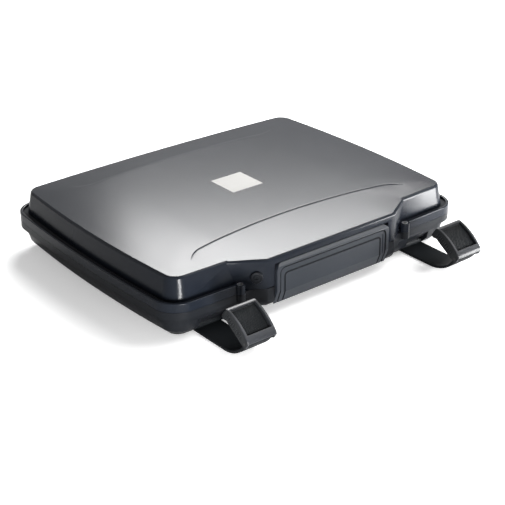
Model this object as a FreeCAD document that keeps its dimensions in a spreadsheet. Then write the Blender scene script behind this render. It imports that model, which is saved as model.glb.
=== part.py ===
import FreeCAD, Part
import math
import os
import Sketcher
from types import SimpleNamespace

# Laptop hard case, closed, standing on its underside
#
# Origin: middle of the underside. +X to the right seen from the handle side, +Y to the
# hinges, +Z up. Millimetres and degrees. The case is a moulded base and lid with bowed
# sides, hinged at the back, with two strap latches and a folding handle at the front.

SIZES = (
    # Plan of the rim, where lid and base meet
    ("rim_half_x", 196.6, "half width of the rim at its corners"),
    ("rim_half_y", 153.1, "half depth of the rim at its corners"),
    ("rim_corner", 28.0, "plan radius of the rim's corners"),
    ("side_bow", 6.7, "how far the left and right sides bow out"),
    ("back_bow", 5.4, "how far the back bows out"),
    ("front_bow", 3.2, "how far the front bows out"),
    # Levels above the ground
    ("seam_level", 36.0, "joint between lid and base"),
    ("seam_gap", 0.3, "gap between lid and base along the seam"),
    ("case_height", 70.3, "top of the lid's crown"),
    ("crown_rise", 1.8, "rise of the lid's crown"),
    # Moulding
    ("shell_wall", 4.0, "wall of base and lid"),
    ("cut_overrun", 20.0, "overrun of the cuts"),
    ("soft_gap", 0.3, "gap between soft pieces and their housing"),
    ("pin_clearance", 0.05, "radial clearance of the pins that turn"),
    # Lid
    ("lid_flange_height", 6.8, "thickness of the lid's flange under its groove"),
    ("lid_lip_height", 3.0, "height of the lip along the flange's outer edge"),
    ("lid_lip_width", 3.4, "width of that lip"),
    ("lid_foot_inset", 8.3, "inset of the lid's wall at its foot"),
    ("lid_draft", 4.1, "further inset of that wall at the top"),
    ("lid_edge_height", 1.5, "height of the bevel round the top"),
    ("lid_edge_inset", 1.7, "inset of that bevel"),
    ("crown_foot", 6.0, "inset of the crown's foot inside the top's edge"),
    ("crown_inset", 71.6, "inset of the crown's flat panel left and right"),
    ("crease_front_inset", 61.6, "inset of the panel's front crease"),
    ("crease_front_end_inset", 49.1, "inset of that crease's ends"),
    ("crease_back_inset", 41.1, "inset of the panel's back crease"),
    ("crease_back_end_inset", 49.1, "inset of that crease's ends"),
    ("lid_cavity_corner", 6.0, "bevel between the lid's ceiling and walls"),
    # Base
    ("base_flange_height", 8.0, "thickness of the base's flange"),
    ("base_body_inset", 6.0, "inset of the base's body under the flange"),
    ("base_bottom_corner", 21.0, "radius between the base's walls and underside"),
    # Seal
    ("seal_groove_inset", 5.4, "inset of the seal's groove"),
    ("seal_groove_width", 3.8, "width of the groove"),
    ("seal_groove_depth", 4.6, "depth of the groove"),
    ("seal_height", 2.6, "height of the seal"),
    ("tongue_width", 1.8, "width of the base's tongue under the seal"),
    # Front housing round the handle
    ("housing_proud", 11.9, "how far the housing stands out of the rim"),
    ("housing_half_top", 87.2, "half width of the housing at its front"),
    ("housing_half_foot", 121.2, "half width where it meets the walls"),
    ("housing_foot_inset", 10.1, "inset of that foot behind the rim's front"),
    ("housing_bottom", 14.0, "underside of the housing"),
    ("housing_bottom_corner", 9.0, "radius under the housing's front"),
    ("recess_depth", 12.6, "depth of the handle's recess"),
    ("recess_gap", 0.8, "gap round the handle"),
    # Handle
    ("handle_half", 76.8, "half width of the handle"),
    ("handle_low", 14.2, "lower edge of the handle"),
    ("handle_high", 60.0, "upper edge of the handle"),
    ("handle_proud", 2.9, "how far the handle's face stands out of the housing"),
    ("handle_depth", 9.9, "depth of the handle's grip"),
    ("handle_arm_depth", 13.3, "depth of its arms round the pins"),
    ("handle_corner", 7.5, "radius of the handle's upper corners"),
    ("handle_arm", 9.0, "width of the handle's arms"),
    ("handle_bar", 11.0, "height of the grip bar behind the face"),
    ("handle_plate", 3.0, "thickness of the core's plate"),
    ("grip_skin", 3.0, "thickness of the soft grip"),
    ("grip_border", 4.4, "width of the grip's border"),
    ("grip_step", 3.2, "width of the step inside the border"),
    ("grip_relief", 0.8, "depth of each step of the grip's face"),
    ("handle_axis_depth", 9.7, "distance of the handle's axis behind its face"),
    ("handle_axis_z", 22.0, "height of the handle's axis"),
    ("handle_pin_radius", 2.0, "radius of the handle's pins"),
    ("handle_pin_length", 13.0, "length of the handle's pins"),
    ("handle_pin_depth", 7.0, "how far a pin goes into the handle"),
    # Hinges at the back
    ("hinge_proud", 7.5, "distance of the hinge axis behind the rim's back corners"),
    ("hinge_inset", 84.6, "distance of each hinge's middle from the rim's end"),
    ("knuckle_radius", 4.5, "outer radius of the hinge knuckles"),
    ("lid_knuckle_length", 26.0, "length of the lid's knuckle"),
    ("base_knuckle_length", 11.0, "length of each base knuckle"),
    ("knuckle_gap", 0.4, "gap beside and around the knuckles"),
    ("hinge_pin_radius", 1.75, "radius of the hinge pins"),
    # Latches
    ("latch_inset", 54.8, "distance of each latch's middle from the rim's end"),
    ("latch_axis_inset", 19.1, "distance of the strap's axis behind the rim's front"),
    ("latch_axis_z", 5.2, "height of the strap's axis"),
    ("strap_width", 31.4, "width of the strap"),
    ("strap_thickness", 3.0, "thickness of the strap"),
    ("strap_lift", 0.3, "gap between the strap and the ground"),
    ("strap_run", 49.0, "flat run of the strap from its axis"),
    ("strap_bend", 44.0, "outer radius of the strap's bend"),
    ("strap_bend_angle", 60.0, "angle of the strap's bend"),
    ("strap_eye", 4.4, "radius of the strap's eye at the base"),
    ("strap_side_gap", 0.6, "gap beside the strap in the base"),
    ("latch_pin_radius", 1.8, "radius of the pin in the base"),
    ("ear_thickness", 4.0, "wall beside the strap's notch"),
    ("notch_radius", 5.2, "radius of the notch round the strap's eye"),
    ("strap_raise_angle", 46.0, "how far the strap swings up"),
    ("boss_height", 13.0, "height of the boss over the strap's eye"),
    ("lever_eye", 3.2, "radius of the strap's eye in the lever"),
    ("lever_pin_radius", 1.7, "radius of the lever's pin"),
    ("lever_angle", 33.7, "angle of the lever above level"),
    ("lever_width", 35.6, "width of the lever"),
    ("lever_reach", 38.9, "length of the lever from its axis"),
    ("lever_heel", 3.4, "length of the lever behind its axis"),
    ("lever_face", 6.7, "height of the lever's face over its axis"),
    ("lever_under", 3.8, "depth of the lever's rails under its axis"),
    ("lever_bulge", 60.0, "radius of the lever's face"),
    ("lever_side_gap", 0.3, "gap between the strap and each rail"),
    ("hook_depth", 6.4, "depth of the hook under the lever's axis"),
    ("hook_thickness", 3.4, "thickness of the hook"),
    ("channel_roof", 4.2, "height of the lever's channel over its axis"),
    ("channel_length", 31.0, "length of the channel from the axis"),
    ("pad_floor", 6.4, "height of the pad's seat over the axis"),
    ("pad_half", 14.6, "half width of the pad"),
    ("pad_start", 4.5, "start of the pad from the axis"),
    ("pad_end", 34.8, "end of the pad from the axis"),
    ("pad_rise", 0.7, "how far the pad's ends stand over the lever's edges"),
    # Padlock holes beside the housing
    ("padlock_offset", 28.3, "distance of each padlock hole from its latch"),
    ("padlock_proud", 1.4, "distance of those holes in front of the rim's corners"),
    ("padlock_hole", 2.5, "radius of the hole in the sleeves"),
    ("sleeve_wall", 0.9, "wall of the sleeves"),
    ("tab_radius", 5.2, "radius of the tab round each padlock hole"),
    # Pressure valve in the left cheek of the lid's housing
    ("valve_along_share", 0.27, "place of the valve along the cheek"),
    ("valve_level", 50.0, "height of the valve"),
    ("valve_radius", 5.2, "radius of the valve's body"),
    ("valve_depth", 14.0, "depth of the valve's body in the wall"),
    ("valve_cap_radius", 6.3, "radius of the valve's cap"),
    ("valve_cap_height", 2.4, "height of the cap"),
    ("valve_vent_radius", 2.0, "radius of the vent through the valve"),
    ("membrane_thickness", 0.8, "thickness of the valve's membrane"),
    # Foam
    ("foam_floor", 8.0, "foam under the laptop"),
    ("foam_top_drop", 1.6, "drop of the base foam's top under the seam"),
    ("bay_inset_x", 24.6, "foam left and right of the laptop's bay"),
    ("bay_inset_y", 34.1, "foam in front of and behind the bay"),
    ("bay_corner", 12.0, "corner radius of the bay"),
    ("foam_notch_margin", 3.0, "foam cut away round each latch boss"),
    ("lid_foam_thickness", 27.0, "thickness of the lid's foam"),
)


class Size:
    """A number with the spreadsheet expression that gives it."""

    def __init__(self, value, text):
        self.value = value
        self.text = text

    def _join(self, other, sign, value):
        text = other.text if isinstance(other, Size) else repr(other)
        return Size(value, "(%s %s %s)" % (self.text, sign, text))

    def __add__(self, other):
        return self._join(other, "+", self.value + plain(other))

    def __sub__(self, other):
        return self._join(other, "-", self.value - plain(other))

    def __mul__(self, other):
        return self._join(other, "*", self.value * plain(other))

    def __truediv__(self, other):
        return self._join(other, "/", self.value / plain(other))

    def __neg__(self):
        return Size(-self.value, "(0 - %s)" % self.text)


def plain(size):
    return size.value if isinstance(size, Size) else float(size)


def cosine(angle):
    return Size(math.cos(math.radians(angle.value)), "cos(%s * 1deg)" % angle.text)


def sine(angle):
    return Size(math.sin(math.radians(angle.value)), "sin(%s * 1deg)" % angle.text)


# The document and its sheet

doc = FreeCAD.newDocument("laptop_hard_case")
sheet = doc.addObject("Spreadsheet::Sheet", "size")
for row, (alias, value, meaning) in enumerate(SIZES, start=1):
    sheet.set("A%d" % row, alias)
    sheet.set("B%d" % row, repr(value))
    sheet.setAlias("B%d" % row, alias)
    sheet.set("C%d" % row, meaning)
doc.recompute()
d = SimpleNamespace(**{alias: Size(float(sheet.get(alias)), "size." + alias)
                       for alias, value, meaning in SIZES})

# Places that follow from the rim's size

d.housing_front = d.rim_half_y + d.housing_proud
d.housing_foot = d.rim_half_y - d.housing_foot_inset
d.recess_back = d.housing_front - d.recess_depth
d.handle_front = d.housing_front + d.handle_proud
d.handle_back = d.handle_front - d.handle_depth
d.handle_arm_back = d.handle_front - d.handle_arm_depth
d.handle_axis_y = d.handle_front - d.handle_axis_depth
d.hinge_axis_y = d.rim_half_y + d.hinge_proud
d.hinge_place = d.rim_half_x - d.hinge_inset
d.latch_place = d.rim_half_x - d.latch_inset
d.latch_axis_y = d.rim_half_y - d.latch_axis_inset
d.padlock_place = d.latch_place - d.padlock_offset
d.padlock_y = d.rim_half_y + d.padlock_proud
d.bay_half_x = d.rim_half_x - d.bay_inset_x
d.bay_half_y = d.rim_half_y - d.bay_inset_y
d.crown_half = d.rim_half_x - d.crown_inset
d.crease_front = d.rim_half_y - d.crease_front_inset
d.crease_front_end = d.rim_half_y - d.crease_front_end_inset
d.crease_back = d.rim_half_y - d.crease_back_inset
d.crease_back_end = d.rim_half_y - d.crease_back_end_inset
v = SimpleNamespace(**{name: size.value for name, size in vars(d).items()})

Vector = FreeCAD.Vector
Rotation = FreeCAD.Rotation
UP = Vector(0, 0, 1)
RIGHT = Vector(1, 0, 0)
SIDES = (("left", -1), ("right", 1))
INSIDE_BEVELS = (0, 90)
OUTSIDE_BEVELS = (0, 30, 60, 90)
nodes = []


# Helpers for sketches and features

def bind(thing, prop, size):
    thing.setExpression(prop, size.text)


def place(thing, x=None, y=None, z=None, rotation=None):
    """Give a sub-part its Placement, bound to the sheet."""
    thing.Placement = FreeCAD.Placement(Vector(*[plain(c) if c else 0 for c in (x, y, z)]),
                                        rotation or Rotation())
    for axis, size in (("x", x), ("y", y), ("z", z)):
        if isinstance(size, Size):
            bind(thing, "Placement.Base." + axis, size)


def new_body(name):
    body = doc.addObject("PartDesign::Body", name)
    body.Label = name
    nodes.append(body)
    return body


def new_sketch(body, name, plane):
    sketch = body.newObject("Sketcher::SketchObject", name)
    origin_plane = [f for f in body.Origin.OriginFeatures if f.Role == plane][0]
    sketch.AttachmentSupport = [(origin_plane, "")]
    sketch.MapMode = "FlatFace"
    return sketch


def pin_point(sketch, geometry, end, point):
    """Fix one point of a sketch at two sizes measured from its origin."""
    for kind, size in (("DistanceX", point[0]), ("DistanceY", point[1])):
        index = sketch.addConstraint(Sketcher.Constraint(kind, -1, 1, geometry, end, plain(size)))
        if isinstance(size, Size):
            bind(sketch, "Constraints[%d]" % index, size)


def arc_between(start, end, radius, left):
    """Arc from start to end, its centre on the left of that way if left is true."""
    chord = end - start
    half = chord.Length / 2
    rise = math.sqrt(max(radius * radius - half * half, 0))
    normal = Vector(-chord.y, chord.x, 0).normalize()
    centre = (start + end) / 2 + normal * (rise if left else -rise)
    first, last = (start, end) if left else (end, start)
    angles = [math.atan2(p.y - centre.y, p.x - centre.x) for p in (first, last)]
    return Part.ArcOfCircle(Part.Circle(centre, UP, radius), angles[0], angles[1])


def outline_sketch(body, name, plane, steps):
    """Closed outline. A step is (x, y) or (x, y, radius, left) for an arc to the next point."""
    sketch = new_sketch(body, name, plane)
    points = [Vector(plain(step[0]), plain(step[1]), 0) for step in steps]
    count = len(steps)
    ends = []
    for i, step in enumerate(steps):
        start, end = points[i], points[(i + 1) % count]
        if len(step) == 2:
            sketch.addGeometry(Part.LineSegment(start, end))
            ends.append((1, 2))
        else:
            sketch.addGeometry(arc_between(start, end, plain(step[2]), step[3]))
            ends.append((1, 2) if step[3] else (2, 1))
    for i, step in enumerate(steps):
        following = (i + 1) % count
        sketch.addConstraint(Sketcher.Constraint("Coincident", i, ends[i][1],
                                                 following, ends[following][0]))
        pin_point(sketch, i, ends[i][0], step)
        if len(step) > 2:
            index = sketch.addConstraint(Sketcher.Constraint("Radius", i, plain(step[2])))
            bind(sketch, "Constraints[%d]" % index, step[2])
    return sketch


def circle_sketch(body, name, plane, centre, *radii):
    sketch = new_sketch(body, name, plane)
    middle = Vector(plain(centre[0]), plain(centre[1]), 0)
    for i, radius in enumerate(radii):
        sketch.addGeometry(Part.Circle(middle, UP, plain(radius)))
        index = sketch.addConstraint(Sketcher.Constraint("Radius", i, plain(radius)))
        bind(sketch, "Constraints[%d]" % index, radius)
        pin_point(sketch, i, 3, centre)
    return sketch


def rectangle(low_x, low_y, high_x, high_y):
    return [(low_x, low_y), (high_x, low_y), (high_x, high_y), (low_x, high_y)]


def feature(body, kind, name, sketch, length, both_ways=True, backwards=False):
    """Pad or pocket of a sketch."""
    made = body.newObject("PartDesign::" + kind, name)
    made.Profile = sketch
    bind(made, "Length", length)
    made.SideType = "Symmetric" if both_ways else "One side"
    made.Reversed = backwards
    sketch.Visibility = False
    doc.recompute()
    return made


def pad(body, name, sketch, length, both_ways=True, backwards=False):
    return feature(body, "Pad", name, sketch, length, both_ways, backwards)


def pocket(body, name, sketch, length, both_ways=True, backwards=False):
    before = body.Shape.Volume
    made = feature(body, "Pocket", name, sketch, length, both_ways, backwards)
    if body.Shape.Volume >= before:
        raise RuntimeError("the pocket %s cuts nothing" % name)
    return made


def moulding(name, shape):
    """Sub-part whose form is worked out in code from the sheet."""
    part = doc.addObject("Part::Feature", name)
    part.Label = name
    part.Shape = shape
    part.Placement = FreeCAD.Placement()
    nodes.append(part)
    return part


def pin(name, radius, length, x, y, z):
    """Round pin along X with its middle at x, y, z."""
    part = doc.addObject("Part::Cylinder", name)
    part.Label = name
    bind(part, "Radius", radius)
    bind(part, "Height", length)
    place(part, x - length / 2, y, z, Rotation(UP, RIGHT))
    nodes.append(part)
    return part


# The case's plan: four bowed sides joined by tangent corner arcs

def meeting(first, first_radius, second, second_radius, toward):
    """Meeting point of two circles, the one nearer to toward."""
    apart = second - first
    reach = apart.Length
    along = (first_radius ** 2 - second_radius ** 2 + reach ** 2) / (2 * reach)
    across = math.sqrt(first_radius ** 2 - along ** 2)
    base_point = first + apart * (along / reach)
    normal = Vector(-apart.y, apart.x, 0) / reach
    options = (base_point + normal * across, base_point - normal * across)
    return min(options, key=lambda p: p.distanceToPoint(toward))


def plan(inset, level):
    """Wire of the rim's plan, inset all round, at a level."""
    half_x = v.rim_half_x - inset
    half_y = v.rim_half_y - inset
    corner = v.rim_corner - min(inset, v.rim_corner * 2 / 3)
    side_radius = (half_y ** 2 + v.side_bow ** 2) / (2 * v.side_bow)
    side_centre = Vector(half_x + v.side_bow - side_radius, 0, 0)
    tangents = []
    corner_middles = []
    for sign, bow in ((-1, v.front_bow), (1, v.back_bow)):
        end_radius = (half_x ** 2 + bow ** 2) / (2 * bow)
        end_centre = Vector(0, sign * (half_y + bow - end_radius), 0)
        toward = Vector(half_x, sign * half_y, 0)
        centre = meeting(side_centre, side_radius - corner, end_centre, end_radius - corner, toward)
        on_side = side_centre + (centre - side_centre) * (side_radius / (side_radius - corner))
        on_end = end_centre + (centre - end_centre) * (end_radius / (end_radius - corner))
        middle = centre + ((on_side + on_end) / 2 - centre).normalize() * corner
        tangents.append((on_side, on_end))
        corner_middles.append(middle)
    (fs, fe), (bs, be) = tangents
    front_middle = Vector(0, -half_y - v.front_bow, 0)
    back_middle = Vector(0, half_y + v.back_bow, 0)
    side_middle = Vector(half_x + v.side_bow, 0, 0)
    lift = Vector(0, 0, level)

    def across(point):
        return Vector(-point.x, point.y, point.z)

    arcs = ((fs, side_middle, bs), (bs, corner_middles[1], be), (be, back_middle, across(be)),
            (across(be), across(corner_middles[1]), across(bs)),
            (across(bs), across(side_middle), across(fs)),
            (across(fs), across(corner_middles[0]), across(fe)),
            (across(fe), front_middle, fe), (fe, corner_middles[0], fs))
    edges = [Part.Arc(a + lift, b + lift, c + lift).toShape() for a, b, c in arcs]
    return Part.Wire(edges)


def slab(inset, low, high):
    return Part.Face(plan(inset, low)).extrude(Vector(0, 0, high - low))


def ring(outer_inset, inner_inset, low, high):
    return slab(outer_inset, low, high).cut(slab(inner_inset, low, high))


def tapered(low_inset, low, high_inset, high):
    return Part.makeLoft([plan(low_inset, low), plan(high_inset, high)], True, True)


def block(low_x, high_x, low_y, high_y, low_z, high_z):
    return Part.makeBox(high_x - low_x, high_y - low_y, high_z - low_z,
                        Vector(low_x, low_y, low_z))


def rod(radius, length, start, direction):
    return Part.makeCylinder(radius, length, start, direction)


def profile_along_x(points, middle, width):
    """Solid with a profile of (y, z) points, centred on x = middle."""
    corners = [Vector(middle - width / 2, y, z) for y, z in points]
    face = Part.Face(Part.makePolygon(corners + corners[:1]))
    return face.extrude(Vector(width, 0, 0))


def level_edges(solid, level):
    """Edges that lie wholly at one level."""
    return [e for e in solid.Edges
            if abs(e.BoundBox.ZMin - level) < 1e-4 and abs(e.BoundBox.ZMax - level) < 1e-4]


# Levels worked out once

lid_bottom = v.seam_level + v.seam_gap / 2
base_top = v.seam_level - v.seam_gap / 2
lid_ledge = lid_bottom + v.lid_flange_height
lid_edge = v.case_height - v.crown_rise
lid_edge_start = lid_edge - v.lid_edge_height
lid_top_inset = v.lid_foot_inset + v.lid_draft
lid_ceiling = lid_edge - v.shell_wall
base_flange_bottom = v.seam_level - v.base_flange_height
cavity_inset = v.base_body_inset + v.shell_wall
over = v.cut_overrun
hinge_axis = (v.hinge_axis_y, v.seam_level)
lid_knuckle_half = v.lid_knuckle_length / 2
hinge_half = lid_knuckle_half + v.knuckle_gap + v.base_knuckle_length


def housing_plan(grow, level):
    """Trapezium of the front housing's plan."""
    xs = (v.housing_half_foot + grow, v.housing_half_top + grow)
    ys = (-v.housing_foot, -v.housing_front - grow)
    inside = -v.recess_back + 2 * v.shell_wall + v.lid_foot_inset
    corners = [Vector(-xs[0], inside, level), Vector(-xs[0], ys[0], level),
               Vector(-xs[1], ys[1], level), Vector(xs[1], ys[1], level),
               Vector(xs[0], ys[0], level), Vector(xs[0], inside, level)]
    return Part.makePolygon(corners + corners[:1])


def housing_block(low, high, low_grow=0, high_grow=0):
    return Part.makeLoft([housing_plan(low_grow, low), housing_plan(high_grow, high)], True, True)


def handle_recess(low, high):
    half = v.handle_half + v.recess_gap
    return block(-half, half, -v.housing_front - over, -v.recess_back, low, high)


def handle_sweep():
    """Space that the handle's lower edge turns through."""
    radius = math.hypot(v.grip_skin + v.grip_relief, v.handle_axis_z - v.handle_low)
    half = v.handle_half + v.recess_gap
    start = Vector(-half, -v.handle_axis_y, v.handle_axis_z)
    return rod(radius + v.recess_gap, 2 * half, start, RIGHT)


def knuckle(middle, length):
    """Hinge knuckle along X round the hinge axis."""
    start = Vector(middle - length / 2, hinge_axis[0], hinge_axis[1])
    return rod(v.knuckle_radius, length, start, RIGHT)


def knuckle_clearance(middle, length):
    """Space that a knuckle of the other half needs."""
    half = length / 2 + v.knuckle_gap
    low_y = hinge_axis[0] - v.knuckle_radius - v.knuckle_gap
    return block(middle - half, middle + half, low_y, low_y + over,
                 v.seam_level - over, v.seam_level + over)


def base_knuckle_middles(side):
    """Middles of the two base knuckles of one hinge."""
    offset = lid_knuckle_half + v.knuckle_gap + v.base_knuckle_length / 2
    return (side * v.hinge_place - offset, side * v.hinge_place + offset)


def valve_seat():
    """Foot of the valve on the housing's left cheek, and the way out of it."""
    front = Vector(-v.housing_half_top, -v.housing_front, v.valve_level)
    foot = Vector(-v.housing_half_foot, -v.housing_foot, v.valve_level)
    seat = front + (foot - front) * v.valve_along_share
    along = (foot - front).normalize()
    outward = Vector(along.y, -along.x, 0)
    if outward.y > 0:
        outward = outward * -1
    return seat, outward


# Lid

def lid_cavity(gap, low):
    """Inside of the lid from a level up, with a bevelled corner under the ceiling."""
    corner_level = lid_ceiling - v.lid_cavity_corner
    slope = v.lid_draft / (lid_ceiling - lid_bottom)
    low_inset = v.lid_foot_inset + gap + slope * (low - lid_bottom)
    corner_inset = v.lid_foot_inset + gap + slope * (corner_level - lid_bottom)
    walls = tapered(low_inset, low, corner_inset, corner_level)
    bevel = tapered(corner_inset, corner_level, corner_inset + v.lid_cavity_corner, lid_ceiling)
    return walls.fuse(bevel)


def crown_outline(half_x, front, back, level):
    """Outline of the lid's crown. Front and back are (distance at the ends, in the middle)."""
    fl, fr = Vector(-half_x, -front[0], level), Vector(half_x, -front[0], level)
    br, bl = Vector(half_x, back[0], level), Vector(-half_x, back[0], level)
    return Part.Wire([Part.Arc(fl, Vector(0, -front[1], level), fr).toShape(),
                      Part.LineSegment(fr, br).toShape(),
                      Part.Arc(br, Vector(0, back[1], level), bl).toShape(),
                      Part.LineSegment(bl, fl).toShape()])


def lid_shell():
    outer = slab(0, lid_bottom, lid_ledge)
    outer = outer.fuse(ring(0, v.lid_lip_width, lid_ledge, lid_ledge + v.lid_lip_height))
    wall = tapered(v.lid_foot_inset, lid_ledge, lid_top_inset, lid_edge_start)
    edge = tapered(lid_top_inset, lid_edge_start, lid_top_inset + v.lid_edge_inset, lid_edge)
    foot_inset = lid_top_inset + v.lid_edge_inset + v.crown_foot
    foot = v.rim_half_y - foot_inset
    crown = Part.makeLoft([
        crown_outline(v.rim_half_x - foot_inset, (foot, foot + v.front_bow),
                      (foot, foot + v.back_bow), lid_edge),
        crown_outline(v.crown_half, (v.crease_front_end, v.crease_front),
                      (v.crease_back_end, v.crease_back), v.case_height)], True, True)
    housing = housing_block(lid_bottom, lid_edge_start)
    housing_edge = housing_block(lid_edge_start, lid_edge, 0, -v.lid_edge_inset)
    outer = outer.fuse([wall, edge, crown, housing, housing_edge])
    outer = outer.cut(handle_recess(lid_bottom - over, v.handle_high + v.recess_gap))
    outer = outer.cut(flange_notches())
    shell = outer.cut(lid_cavity(v.shell_wall, lid_bottom))
    for name, side in SIDES:
        middle = side * v.hinge_place
        shell = shell.fuse(padlock_tab(side, lid_bottom, lid_ledge + v.lid_lip_height))
        for other in base_knuckle_middles(side):
            shell = shell.cut(knuckle_clearance(other, v.base_knuckle_length))
        web = block(middle - lid_knuckle_half, middle + lid_knuckle_half,
                    v.rim_half_y - v.shell_wall, hinge_axis[0], lid_bottom, lid_ledge)
        shell = shell.fuse([web, knuckle(middle, v.lid_knuckle_length)])
        start = Vector(middle - hinge_half - over, hinge_axis[0], hinge_axis[1])
        bore = rod(v.hinge_pin_radius + v.pin_clearance, 2 * (hinge_half + over), start, RIGHT)
        shell = shell.cut(bore)
        shell = shell.cut(padlock_cut(side))
    groove = ring(v.seal_groove_inset, v.seal_groove_inset + v.seal_groove_width,
                  lid_bottom, lid_bottom + v.seal_groove_depth)
    shell = shell.cut(groove)
    seat, outward = valve_seat()
    reach = v.valve_depth + over
    bore = rod(v.valve_radius, reach, seat - outward * reach, outward)
    shell = shell.cut(bore.fuse(rod(v.valve_radius, over, seat, outward)))
    return shell.removeSplitter()


def flange_notches():
    """Where the lid's flange ends short of the housing's cheeks."""
    notches = [block(low, low + v.padlock_place - v.housing_half_top,
                     -v.housing_front - over, -v.housing_foot, lid_bottom - over, lid_edge_start)
               for low in (v.housing_half_top, -v.padlock_place)]
    return [notch.cut(housing_block(lid_bottom - over, lid_edge_start)) for notch in notches]


def padlock_cut(side):
    """Hole for the padlock's sleeves through lid and base."""
    start = Vector(side * v.padlock_place, -v.padlock_y, v.seam_level - over)
    return rod(v.padlock_hole + v.sleeve_wall, 2 * over, start, UP)


def padlock_tab(side, low, high):
    """Rounded tab of lid or base round a padlock hole."""
    return rod(v.tab_radius, high - low, Vector(side * v.padlock_place, -v.padlock_y, low), UP)


# Base

def strap_notch(side):
    """Space that a strap sweeps through in the base."""
    middle = side * v.latch_place
    width = v.strap_width + 2 * v.strap_side_gap
    y0 = -v.latch_axis_y
    z0 = v.latch_axis_z
    start = Vector(middle - width / 2, y0, z0)
    eye = rod(v.notch_radius, width, start, RIGHT)
    angle = math.radians(v.strap_raise_angle)
    reach = v.housing_front - v.latch_axis_y + over
    top = (y0 - reach * math.cos(angle), z0 + reach * math.sin(angle) + v.strap_side_gap)
    wedge = profile_along_x([(y0 + v.notch_radius, -over), (y0 + v.notch_radius, z0), (y0, z0),
                             top, (y0 - reach - over, -over)], middle, width)
    return eye.fuse(wedge)


def latch_boss(side, body):
    """Housing of the strap's hinge inside the base, trimmed to the base's outside."""
    inside = -v.latch_axis_y + v.notch_radius + v.shell_wall
    front = -v.rim_half_y
    rise = (v.boss_height + (front + v.latch_axis_y) * -math.tan(math.radians(v.strap_raise_angle)))
    points = [(front, 0), (inside, 0), (inside, v.latch_axis_z + v.shell_wall),
              (-v.latch_axis_y, v.boss_height), (front, rise)]
    width = v.strap_width + 2 * (v.strap_side_gap + v.ear_thickness)
    return profile_along_x(points, side * v.latch_place, width).common(body)


def tub(inset, low, high, corner, bevels):
    """Block of the case's plan whose lower corner is rounded in short bevels."""
    steps = []
    for angle in bevels:
        turn = math.radians(angle)
        steps.append((inset + corner * (1 - math.sin(turn)), low + corner * (1 - math.cos(turn))))
    solid = slab(inset, steps[-1][1], high)
    for (low_inset, low_level), (high_inset, high_level) in zip(steps, steps[1:]):
        solid = solid.fuse(tapered(low_inset, low_level, high_inset, high_level))
    return solid


def base_cavity(gap, high):
    """Inside of the base up to a level."""
    return tub(cavity_inset + gap, v.shell_wall, high,
               v.base_bottom_corner - v.shell_wall, INSIDE_BEVELS)


def base_shell():
    body = tub(v.base_body_inset, 0, base_flange_bottom, v.base_bottom_corner, OUTSIDE_BEVELS)
    flange = slab(0, base_flange_bottom, base_top)
    housing = housing_block(v.housing_bottom, base_top)
    low_front = [e for e in level_edges(housing, v.housing_bottom)
                 if e.BoundBox.YMax < -v.housing_foot + v.soft_gap]
    housing = housing.makeFillet(v.housing_bottom_corner, low_front)
    outer = body.fuse([flange, housing])
    outer = outer.cut([handle_recess(-over, base_top + over), handle_sweep()])
    shell = outer.cut(base_cavity(0, base_top + over))
    for name, side in SIDES:
        shell = shell.fuse(latch_boss(side, body))
        shell = shell.cut(strap_notch(side))
        middle = side * v.latch_place
        width = v.strap_width + 2 * (v.strap_side_gap + v.ear_thickness)
        start = Vector(middle - width / 2 + v.ear_thickness / 2, -v.latch_axis_y, v.latch_axis_z)
        shell = shell.cut(rod(v.latch_pin_radius, width - v.ear_thickness, start, RIGHT))
    tongue_inset = v.seal_groove_inset + (v.seal_groove_width - v.tongue_width) / 2
    tongue_top = lid_bottom + v.seal_groove_depth - v.seal_height - v.soft_gap
    shell = shell.fuse(ring(tongue_inset, tongue_inset + v.tongue_width, base_top, tongue_top))
    for name, side in SIDES:
        middle = side * v.hinge_place
        shell = shell.cut(knuckle_clearance(middle, v.lid_knuckle_length))
        for other in base_knuckle_middles(side):
            half = v.base_knuckle_length / 2
            web = block(other - half, other + half, v.rim_half_y - v.shell_wall, hinge_axis[0],
                        base_flange_bottom, base_top)
            shell = shell.fuse([web, knuckle(other, v.base_knuckle_length)])
        start = Vector(middle - hinge_half + v.knuckle_gap, hinge_axis[0], hinge_axis[1])
        shell = shell.cut(rod(v.hinge_pin_radius, 2 * (hinge_half - v.knuckle_gap), start, RIGHT))
        shell = shell.fuse(padlock_tab(side, base_flange_bottom, base_top))
        shell = shell.cut(padlock_cut(side))
        pin_length = v.handle_pin_length
        inner = v.handle_half - v.handle_pin_depth
        low = inner if side > 0 else -inner - pin_length
        shell = shell.cut(rod(v.handle_pin_radius, pin_length,
                              Vector(low, -v.handle_axis_y, v.handle_axis_z), RIGHT))
    return shell.removeSplitter()


# Seal and foam

def lid_seal():
    inset = v.seal_groove_inset + v.soft_gap
    top = lid_bottom + v.seal_groove_depth
    return ring(inset, v.seal_groove_inset + v.seal_groove_width - v.soft_gap,
                top - v.seal_height, top)


def lid_foam():
    return lid_cavity(v.shell_wall + v.soft_gap, lid_ceiling - v.lid_foam_thickness)


def bay(low, high):
    """Rounded box that holds the laptop."""
    box = block(-v.bay_half_x, v.bay_half_x, -v.bay_half_y, v.bay_half_y, low, high)
    uprights = [e for e in box.Edges if e.BoundBox.ZLength > (high - low) / 2]
    return box.makeFillet(v.bay_corner, uprights)


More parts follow.
